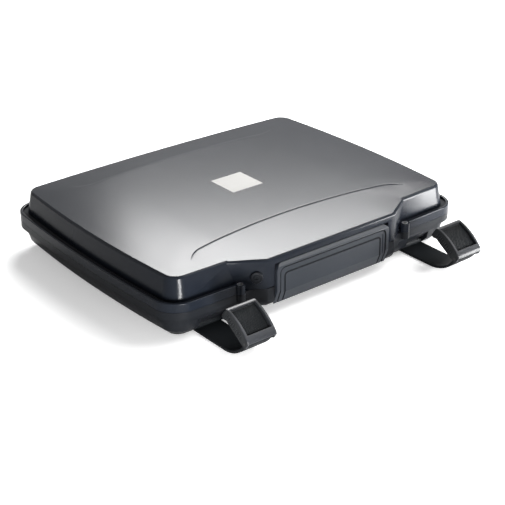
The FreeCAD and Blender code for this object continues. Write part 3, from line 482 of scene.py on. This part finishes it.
def finish_nodes():
    for name, node in NODES.items():
        material = next(material for start, material in NODE_FINISH if name.startswith(start))
        node.data.materials.clear()
        node.data.materials.append(material)


# Working on pieces

def only(piece):
    bpy.ops.object.select_all(action="DESELECT")
    piece.select_set(True)
    bpy.context.view_layer.objects.active = piece


def open_for_editing(piece):
    only(piece)
    bpy.ops.object.mode_set(mode="EDIT")
    bpy.ops.mesh.select_all(action="SELECT")


def close_editing():
    bpy.ops.mesh.select_all(action="DESELECT")
    bpy.ops.object.mode_set(mode="OBJECT")


def apply_modifier(piece, kind, **settings):
    """Change a piece for good by a modifier with these settings."""
    only(piece)
    modifier = piece.modifiers.new(kind.lower(), kind)
    for key, value in settings.items():
        setattr(modifier, key, value)
    bpy.ops.object.modifier_apply(modifier=modifier.name)


def join_all(parts):
    """Join objects into the first of them."""
    only(parts[0])
    for part in parts[1:]:
        part.select_set(True)
    if len(parts) > 1:
        bpy.ops.object.join()
    return bpy.context.view_layer.objects.active


def editable(name, *node_names):
    """Welded copy of CAD pieces, with their flat faces joined again."""
    parts = []
    for node_name in node_names:
        mesh = NODES[node_name].data.copy()
        mesh.materials.clear()
        part = bpy.data.objects.new(name, mesh)
        bpy.context.scene.collection.objects.link(part)
        parts.append(part)
    piece = join_all(parts)
    piece.name = name
    bpy.ops.mesh.customdata_custom_splitnormals_clear()
    open_for_editing(piece)
    bpy.ops.mesh.remove_doubles(threshold=WELD)
    bpy.ops.mesh.dissolve_limited(angle_limit=math.radians(0.5))
    close_editing()
    return piece


def divide(piece, place, normal):
    """Cut all faces along a plane, so a face that is a ring becomes simple ones."""
    open_for_editing(piece)
    bpy.ops.mesh.bisect(plane_co=place, plane_no=normal)
    close_editing()


def select(piece, kind, test):
    """Select the edges or faces that pass a test, in edit mode, and count them."""
    bpy.ops.mesh.select_mode(type=kind)
    bpy.ops.mesh.select_all(action="DESELECT")
    mesh = bmesh.from_edit_mesh(piece.data)
    chosen = [item for item in (mesh.edges if kind == "EDGE" else mesh.faces) if test(item)]
    for item in chosen:
        item.select_set(True)
    bmesh.update_edit_mesh(piece.data)
    return len(chosen)


def is_sharp(edge, degrees=28):
    return len(edge.link_faces) == 2 and edge.calc_face_angle(0) > math.radians(degrees)


def lies_at(edge, level):
    return all(abs(vertex.co.z - level) < NEAR for vertex in edge.verts)


def middle(edge):
    return (edge.verts[0].co + edge.verts[1].co) / 2


def round_edges(piece, radius, test, segments=2):
    """Round the edges that pass a test."""
    open_for_editing(piece)
    if select(piece, "EDGE", test):
        bpy.ops.mesh.bevel(offset=radius, segments=segments, affect="EDGES", clamp_overlap=False)
    close_editing()


def cut_with(piece, tool):
    """Cut another object away from a piece, and remove it."""
    settings = {"operation": "DIFFERENCE", "solver": "EXACT", "object": tool}
    if tool.data.materials and piece.data.materials:
        settings["material_mode"] = "TRANSFER"
    apply_modifier(piece, "BOOLEAN", **settings)
    bpy.data.objects.remove(tool)


def complete(piece, body, material, replaced=(), smooth=35):
    """Settle a piece's place, shading and finish, and say which body it rides on."""
    only(piece)
    bpy.ops.object.transform_apply(location=True, rotation=True, scale=True)
    bpy.ops.object.shade_smooth_by_angle(angle=math.radians(smooth))
    apply_modifier(piece, "WEIGHTED_NORMAL", keep_sharp=True)
    if not piece.data.materials:
        piece.data.materials.append(material)
    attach(piece, body)
    if replaced:
        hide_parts(*replaced)


def limited(share):
    """A share kept between nothing and all."""
    return max(0.0, min(1.0, share))


def corners(name):
    """Lowest and highest corner of a CAD piece."""
    low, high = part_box(name)
    return Vector(low), Vector(high)


# Levels and sizes read from the CAD

SHELL_HIGH = corners("lid_shell")[1]
FLOOR_FOAM_HIGH = corners("base_foam_floor")[1]
LID_FOAM_LOW, LID_FOAM_HIGH = corners("lid_foam")
GRIP_LOW, GRIP_HIGH = corners("handle_grip")


# Lid

def front_crease(along):
    """How far forward the front crease lies, by distance from the middle."""
    place, sweep = FRONT_CREASE
    start, length, depth = FRONT_CURL
    curl = limited((along - start) / length)
    return -(place + sweep * (along / CREASE_HALF) ** 2) - depth * curl ** 2


def back_crease(along):
    """How far back the back crease lies, by distance from the middle."""
    place, sweep = BACK_CREASE
    start, length, depth = BACK_CURL
    curl = limited((along - start) / length)
    return place - sweep * (along / CREASE_HALF) ** 2 + depth * curl ** 1.5


def ease(share):
    share = limited(share)
    return share * share * (3 - 2 * share)


def crown_rows(along):
    """Places across the lid at one distance from the middle, close together at each crease."""
    front, back = front_crease(along), back_crease(along)
    reach = front - CREASE_OFFSETS[-1] - STAMP_FRONT
    rows = [STAMP_FRONT + reach * i / FRONT_ROWS for i in range(FRONT_ROWS)]
    rows += [front + offset for offset in CREASE_SPREAD]
    first, last = rows[-1], back - CREASE_OFFSETS[-1]
    rows += [first + (last - first) * i / PANEL_ROWS for i in range(1, PANEL_ROWS)]
    rows += [back + offset for offset in CREASE_SPREAD]
    first = rows[-1]
    rows += [first + (STAMP_BACK - first) * i / BACK_ROWS for i in range(1, BACK_ROWS + 1)]
    return rows


def distance_to(outline, x, y):
    """Distance from a place to a closed outline."""
    best = 1.0
    for (ax, ay), (bx, by) in zip(outline, outline[1:] + outline[:1]):
        dx, dy = bx - ax, by - ay
        share = limited(((x - ax) * dx + (y - ay) * dy) / (dx * dx + dy * dy))
        best = min(best, math.hypot(x - ax - share * dx, y - ay - share * dy))
    return best


def inside(outline, x, y):
    hits = False
    for (ax, ay), (bx, by) in zip(outline, outline[1:] + outline[:1]):
        if (ay > y) != (by > y) and x < ax + (bx - ax) * (y - ay) / (by - ay):
            hits = not hits
    return hits


def crown_height(outline, x, y):
    """Height of the lid's top: a flat panel, slopes to the edge, and two creases."""
    along = abs(x)
    over_end = max(0.0, along - PANEL_END)
    near = min(along, PANEL_END)
    over_side = max(0.0, front_crease(near) - y, y - back_crease(near))
    beyond = math.hypot(over_end, over_side)
    share = 0.0
    if beyond:
        edge = distance_to(outline, x, y) if inside(outline, x, y) else 0.0
        share = (beyond / (beyond + edge)) ** (1 + END_FULLNESS * (over_end / beyond) ** 2)
    height = PANEL_TOP - (PANEL_TOP - LID_EDGE - CROWN_LIFT) * share
    strength = 1 - ease((along - CREASE_FADE[0]) / CREASE_FADE[1])
    for ahead, (step, groove, width) in ((front_crease(along) - y, FRONT_PROFILE),
                                         (y - back_crease(along), BACK_PROFILE)):
        height -= strength * (1 - share) * step * ease(0.5 + ahead / (4 * width))
        height -= strength * groove * math.exp(-(ahead / width) ** 2)
    return max(height, LID_EDGE + CROWN_LIFT if share > 0.999 else LID_EDGE - CROWN_DROP)


def crown_stamp(outline):
    """Block whose underside is the lid's crowned top with its creases."""
    columns = [-STAMP_HALF + 2 * STAMP_HALF * i / STAMP_COLUMNS
               for i in range(STAMP_COLUMNS + 1)]
    places = [crown_rows(abs(x)) for x in columns]
    bpy.ops.mesh.primitive_grid_add(
        x_subdivisions=STAMP_COLUMNS, y_subdivisions=len(places[0]) - 1, size=1)
    stamp = bpy.context.active_object
    for index, vertex in enumerate(stamp.data.vertices):
        row, column = divmod(index, len(columns))
        x, y = columns[column], places[column][row]
        vertex.co = (x, y, crown_height(outline, x, y))
    open_for_editing(stamp)
    bpy.ops.mesh.extrude_region_move(TRANSFORM_OT_translate={"value": (0, 0, STAMP_DEPTH)})
    bpy.ops.transform.resize(value=(1, 1, 0), center_override=(0, 0, STAMP_TOP))
    bpy.ops.mesh.select_all(action="SELECT")
    bpy.ops.mesh.normals_make_consistent(inside=False)
    bpy.ops.object.mode_set(mode="OBJECT")
    return stamp


def is_lid_top(face):
    return face.normal.z > 0.98 and face.calc_center_median().z > LID_EDGE - FACE_NEAR


def crown_top(lid):
    """Give the lid its finely shaped top."""
    open_for_editing(lid)
    select(lid, "FACE", is_lid_top)
    bpy.ops.transform.resize(value=(1, 1, 0), center_override=(0, 0, LID_EDGE))
    bpy.ops.mesh.dissolve_limited(angle_limit=math.radians(1))
    mesh = bmesh.from_edit_mesh(lid.data)
    top = max(mesh.faces, key=lambda face: face.calc_area() if is_lid_top(face) else 0)
    outline = [(loop.vert.co.x, loop.vert.co.y) for loop in top.loops]
    bpy.ops.mesh.select_all(action="DESELECT")
    top.select_set(True)
    bmesh.update_edit_mesh(lid.data)
    bpy.ops.mesh.extrude_region_move(TRANSFORM_OT_translate={"value": (0, 0, CROWN_STOCK)})
    close_editing()
    cut_with(lid, crown_stamp(outline))


def round_lid_edge(lid):
    """Round both edges of the bevel between the lid's wall and its top."""
    weights = lid.data.attributes.new("bevel_weight_edge", "FLOAT", "EDGE")
    points = lid.data.vertices
    slants = {}
    for face in lid.data.polygons:
        for key in face.edge_keys:
            slants.setdefault(key, []).append(abs(face.normal.z))
    for edge in lid.data.edges:
        heights = [points[i].co.z for i in edge.vertices]
        sides = slants.get(edge.key, [1.0])
        for level, share in LID_EDGES:
            at_level = max(abs(height - level) for height in heights) < NEAR
            if at_level and max(sides) - min(sides) > SLANT_CHANGE:
                weights.data[edge.index].value = share
    apply_modifier(lid, "BEVEL", limit_method="WEIGHT", width=LID_EDGE_RADIUS, segments=4,
                   use_clamp_overlap=False)


def paint_groove_shade(lid):
    """Painted shade on the floor of the groove inside the lip, as a dark matt material."""
    lid.data.materials.append(SHELL)
    lid.data.materials.append(PAINTED_GROOVE_SHADE)
    for face in lid.data.polygons:
        if face.normal.z > 0.9 and abs(face.center.z - LEDGE) < FACE_NEAR:
            face.material_index = 1


def at_rim_face(place):
    """On the rim's outer face, or on the front of the handle housing."""
    across = abs(place.x) - RIM_HALF[0] + RIM_CORNER
    deep = abs(place.y) - RIM_HALF[1] + RIM_CORNER
    out = math.hypot(max(across, 0), max(deep, 0)) + min(max(across, deep), 0) - RIM_CORNER
    return abs(out) < RIM_SLACK or place.y < -HOUSING_FRONT + RIM_SLACK


def at_padlock_hole(place):
    """By a padlock hole, or on the front between the two."""
    off = math.hypot(abs(place.x) - PADLOCK_PLACE[0], place.y - PADLOCK_PLACE[1])
    return off < PADLOCK_REACH or (abs(place.x) < PADLOCK_PLACE[0] and place.y < 0)


def in_lip_band(place):
    """Near the outer edge of the rim, front, back or side."""
    return (abs(place.x) > SHELL_HIGH.x - LIP_BAND_SIDE
            or place.y > LIP_BAND_BACK or place.y < LIP_BAND_FRONT)


def is_lip_edge(edge):
    """An edge of the lip's top, clear of the padlock holes and the handle housing."""
    place = middle(edge)
    return (is_sharp(edge) and lies_at(edge, LIP_TOP) and in_lip_band(place)
            and not at_padlock_hole(place))


def is_rim_edge(edge, level):
    """An outer edge of the rim or of the handle housing, at a level."""
    return is_sharp(edge) and lies_at(edge, level) and at_rim_face(middle(edge))


def make_lid():
    lid = editable("lid", "lid_shell")
    round_lid_edge(lid)
    crown_top(lid)
    for place, normal in LIP_CUTS:
        divide(lid, place, normal)
    round_edges(lid, LIP_RADIUS, is_lip_edge, 3)
    round_edges(lid, SEAM_RADIUS, lambda edge: is_rim_edge(edge, SEAM_TOP))
    paint_groove_shade(lid)
    complete(lid, "lid", SHELL, ["lid_shell"])


def make_label():
    """Bare square plate pressed into the lid."""
    bpy.ops.mesh.primitive_plane_add(
        size=LABEL_SIZE, location=(*LABEL_PLACE, PANEL_TOP - LABEL_DEPTH))
    label = bpy.context.active_object
    label.name = "lid_label"
    open_for_editing(label)
    bpy.ops.mesh.bevel(offset=LABEL_CORNER, segments=4, affect="VERTICES")
    bpy.ops.mesh.select_all(action="SELECT")
    rise = (0, 0, LABEL_DEPTH + LABEL_PROUD)
    bpy.ops.mesh.extrude_region_move(TRANSFORM_OT_translate={"value": rise})
    bpy.ops.mesh.inset(**LABEL_RIM)
    bpy.ops.mesh.select_all(action="SELECT")
    bpy.ops.mesh.normals_make_consistent(inside=False)
    bpy.ops.object.mode_set(mode="OBJECT")
    complete(label, "lid", LABEL)


# Base

def make_base():
    base = editable("base", "base_shell")
    round_edges(base, SEAM_RADIUS, lambda edge: is_rim_edge(edge, SEAM_LOW))
    round_edges(base, FLANGE_RADIUS, lambda edge: is_rim_edge(edge, FLANGE_LOW))
    round_edges(base, HOUSING_RADIUS,
                lambda edge: is_sharp(edge) and middle(edge).y < -HOUSING_FRONT + HOUSING_NEAR)
    # The base takes the darker copy of the shell polymer, painted shade
    complete(base, "base", SHADED_BASE_SHELL, ["base_shell"], 40)


# Handle

def is_core_edge(edge):
    """A right-angled edge of the core, behind its front face."""
    return is_sharp(edge, 60) and middle(edge).y > -HOUSING_FRONT + CORE_FRONT


def is_grip_outline(edge):
    """An edge round the outside of the grip's face."""
    place = middle(edge)
    return (is_sharp(edge) and place.y < GRIP_LOW.y + FACE_NEAR
            and (abs(place.x) > GRIP_OUTLINE[0] or place.z > GRIP_OUTLINE[1]))


def make_handle():
    core = editable("grip_core", "handle_core")
    round_edges(core, HANDLE_RADIUS, is_core_edge)
    complete(core, "handle", CORE, ["handle_core"])
    grip = editable("grip", "handle_grip")
    round_edges(grip, HANDLE_RADIUS, is_grip_outline)
    grip.data.materials.append(GRIP)
    for half, top, turn in GRIP_GROOVES:
        tool = grip_groove(grip, half, top, turn)
        # The cutting tube leaves painted shade on the grip's groove faces
        tool.data.materials.append(PAINTED_GROOVE_SHADE)
        cut_with(grip, tool)
    complete(grip, "handle", GRIP, ["handle_grip"])


def groove_route(half, top, turn):
    """Route of a groove on the grip's face: up one side, round a turn, across and down."""
    foot = GRIP_LOW.z - GROOVE_START
    rise = top - turn - GRIP_LOW.z + GROOVE_START
    route = [(-half, foot + rise * i / RISE_STEPS) for i in range(RISE_STEPS + 1)]
    route += [(-half + turn * (1 - math.cos(a)), top - turn + turn * math.sin(a))
              for a in (math.radians(90 / TURN_STEPS * i) for i in range(1, TURN_STEPS))]
    route += [(-half + turn + GROOVE_STEP * i, top)
              for i in range(int((half - turn) / GROOVE_STEP) + 1)]
    return route + [(-x, z) for x, z in reversed(route)]


def grip_groove(grip, half, top, turn):
    """Tube that follows the grip's face along a groove's route."""
    route = groove_route(half, top, turn)
    curve = bpy.data.curves.new("groove", "CURVE")
    curve.dimensions = "3D"
    curve.bevel_depth = GROOVE_RADIUS
    curve.bevel_resolution = 2
    curve.use_fill_caps = True
    spline = curve.splines.new("POLY")
    spline.points.add(len(route) - 1)
    face = GRIP_LOW.y
    for point, (x, z) in zip(spline.points, route):
        hit, place = grip.ray_cast(Vector((x, -0.3, z)), Vector((0, 1, 0)))[:2]
        if hit and place.y < GRIP_HIGH.y - GRIP_BACK_NEAR:
            face = place.y
        point.co = (x, face - GROOVE_RADIUS * GROOVE_SHARE_OUT, z, 1)
    tool = bpy.data.objects.new("groove", curve)
    bpy.context.scene.collection.objects.link(tool)
    only(tool)
    bpy.ops.object.convert(target="MESH")
    return bpy.context.view_layer.objects.active


# Latches

def make_strap(side):
    name = "latch_strap_" + side
    strap = editable("strap_" + side, name)
    low, high = corners(name)

    def side_edge(edge):
        place = middle(edge)
        return (is_sharp(edge, 60) and edge.is_convex
                and min(abs(place.x - low.x), abs(place.x - high.x)) < STRAP_NEAR
                and STRAP_SPAN[0] < place.y < STRAP_SPAN[1])

    round_edges(strap, STRAP_RADIUS, side_edge)
    complete(strap, name, STRAP, [name])


def lever_place(place, sign):
    """A place in the lever's own directions: across, along and out of its face."""
    offset = place - Vector((sign * LATCH_PLACE, *LEVER_AXIS))
    return (offset.x, offset.y * math.cos(LEVER_TURN) + offset.z * math.sin(LEVER_TURN),
            -offset.y * math.sin(LEVER_TURN) + offset.z * math.cos(LEVER_TURN))


def lever_point(across, along, out, sign):
    """Where a place in the lever's own directions lies."""
    return Vector((sign * LATCH_PLACE + across,
                   LEVER_AXIS[0] + along * math.cos(LEVER_TURN) - out * math.sin(LEVER_TURN),
                   LEVER_AXIS[1] + along * math.sin(LEVER_TURN) + out * math.cos(LEVER_TURN)))


def lever_bar(across, along, out, size, sign):
    """Cutting bar in the lever's own directions."""
    bpy.ops.mesh.primitive_cube_add(size=1)
    bar = bpy.context.active_object
    bar.scale = size
    bar.rotation_euler = (LEVER_TURN, 0, 0)
    bar.location = lever_point(across, along, out, sign)
    return bar


def make_lever(side, sign):
    name = "latch_lever_" + side
    lever = editable("lever_" + side, name)

    def outer(edge):
        across, along, out = lever_place(middle(edge), sign)
        return (is_sharp(edge, 30) and edge.is_convex and abs(abs(across) - LEVER_HALF) < NEAR
                and (along > EYE_LENGTH or out > EYE_TOP) and out > LEVER_BACK)

    def seat_rim(edge):
        across, along, out = lever_place(middle(edge), sign)
        return (is_sharp(edge, 30) and edge.is_convex and out > SEAT_FACE
                and abs(across) < LEVER_HALF - SEAT_MARGIN)

    cut_with(lever, lever_bar(0, PAD_MIDDLE, PAD_SEAT + PAD_RECESS[2] / 2, PAD_RECESS, sign))
    round_edges(lever, LEVER_RADIUS, outer, 4)
    round_edges(lever, SEAT_RADIUS, seat_rim)
    cut_with(lever, join_all([
        lever_bar(face * LEVER_HALF, RIB_START + RIB_PITCH * i, RIB_OUT, RIB_SIZE, sign)
        for face in (-1, 1) for i in range(RIB_COUNT)]))
    lever.data.materials.append(LEVER)
    lever.data.materials.append(SHADED_LEVER_SIDE)
    # The lever's side faces take the darker copy, painted shade
    for face in lever.data.polygons:
        across = lever_place(face.center, sign)[0]
        if abs(across) > LEVER_HALF - SIDE_DEPTH and abs(face.normal.x) > 0.9:
            face.material_index = 1
    complete(lever, name, LEVER, [name])


def make_pad(side, sign):
    """Thumb pad, sunk into the lever's frame with a dark gap round it."""
    name = "latch_pad_" + side
    pad = editable("thumb_pad_" + side, name)
    for vertex in pad.data.vertices:
        across, along, out = lever_place(vertex.co, sign)
        along = PAD_MIDDLE + (along - PAD_MIDDLE) * PAD_SHARES[1]
        if out < PAD_BACK:
            out = PAD_SEAT + PAD_LIFT
        else:
            out = PAD_FACE + (out - PAD_CAD_FACE) * PAD_SHARES[2]
        vertex.co = lever_point(across * PAD_SHARES[0], along, out, sign)
    round_edges(pad, PAD_RADIUS, lambda edge: is_sharp(edge, 50)
                and lever_place(middle(edge), sign)[2] > PAD_SEAT + PAD_EDGE_LIFT)
    complete(pad, "latch_lever_" + side, PAD, [name])


def make_latches():
    for side, sign in SIDES:
        make_strap(side)
        make_lever(side, sign)
        make_pad(side, sign)


# Valve and seal

def make_vent_cap():
    """Round cap with a stepped face, and painted shade on the sunk vent in its middle."""
    low, high = corners("valve_cap")
    body_low, body_high = corners("valve_body")
    centre = (low + high) / 2
    out = centre - (body_low + body_high) / 2
    out.z = 0
    out.normalize()
    bpy.ops.mesh.primitive_cylinder_add(vertices=56, radius=CAP_RADIUS, depth=CAP_HEIGHT)
    cap = bpy.context.active_object
    cap.name = "vent_cap"
    open_for_editing(cap)
    select(cap, "EDGE", lambda edge: all(vertex.co.z > 0 for vertex in edge.verts))
    bpy.ops.mesh.bevel(offset=CAP_EDGE_RADIUS, segments=3, affect="EDGES")
    select(cap, "FACE", lambda face: face.normal.z > 0.99 and face.calc_area() > 0.00001)
    for thickness, depth in CAP_STEPS:
        bpy.ops.mesh.inset(thickness=thickness, depth=depth)
    cap.data.materials.append(VALVE)
    # Painted shade on the sunk face of the vent
    cap.data.materials.append(PAINTED_GROOVE_SHADE)
    cap.active_material_index = 1
    bpy.ops.object.material_slot_assign()
    bpy.ops.object.mode_set(mode="OBJECT")
    cap.rotation_mode = "QUATERNION"
    cap.rotation_quaternion = out.to_track_quat("Z", "Y")
    cap.location = centre
    complete(cap, "lid", VALVE, ["valve_cap"], 30)


def make_seal():
    seal = editable("rim_seal", "lid_seal")
    round_edges(seal, SEAL_RADIUS, is_sharp)
    complete(seal, "lid", SEAL, ["lid_seal"])


# Foam

def soften(piece, voxel, rounds):
    """Even mesh over a foam block, with its corners worn round."""
    apply_modifier(piece, "REMESH", mode="VOXEL", voxel_size=voxel)
    apply_modifier(piece, "SMOOTH", factor=0.5, iterations=rounds)


def make_lining():
    """Lid's lining, with egg-crate waves that fade out towards its edges."""
    lining = editable("lid_lining", "lid_foam")
    soften(lining, LINING_VOXEL, LINING_WEAR)
    for vertex in lining.data.vertices:
        place = vertex.co
        if place.z < LID_FOAM_LOW.z + FOAM_FACE:
            reach = min(LID_FOAM_HIGH.x - abs(place.x), LID_FOAM_HIGH.y - abs(place.y))
            share = limited((reach - FOAM_MARGIN) / FOAM_BLEND)
            crossing = math.sin(place.x / FOAM_PITCH) * math.sin(place.y / FOAM_PITCH)
            wave = 0.5 + 0.25 * (crossing + 1)
            place.z += FOAM_WAVE * share * (wave - 0.5) * 2
    complete(lining, "lid", FOAM, ["lid_foam"], 80)


def make_tray():
    """Base's floor and frame of foam as one tray, with slightly sagging faces."""
    tray = editable("laptop_tray", "base_foam_floor", "base_foam_frame")
    soften(tray, TRAY_VOXEL, TRAY_WEAR)
    (across, start), (along, shift) = TRAY_WAVES
    for vertex in tray.data.vertices:
        place = vertex.co
        if place.z > FLOOR_FOAM_HIGH.z - TRAY_FACE:
            sag = math.sin(place.x * across + start) * math.sin(place.y * along + shift)
            place.z -= TRAY_SAG * (1 + sag)
    complete(tray, "base", FOAM, ["base_foam_floor", "base_foam_frame"], 80)


bpy.ops.object.select_all(action="DESELECT")
make_camera()
make_studio()
finish_nodes()
make_lid()
make_label()
make_base()
make_handle()
make_latches()
make_vent_cap()
make_seal()
make_lining()
make_tray()
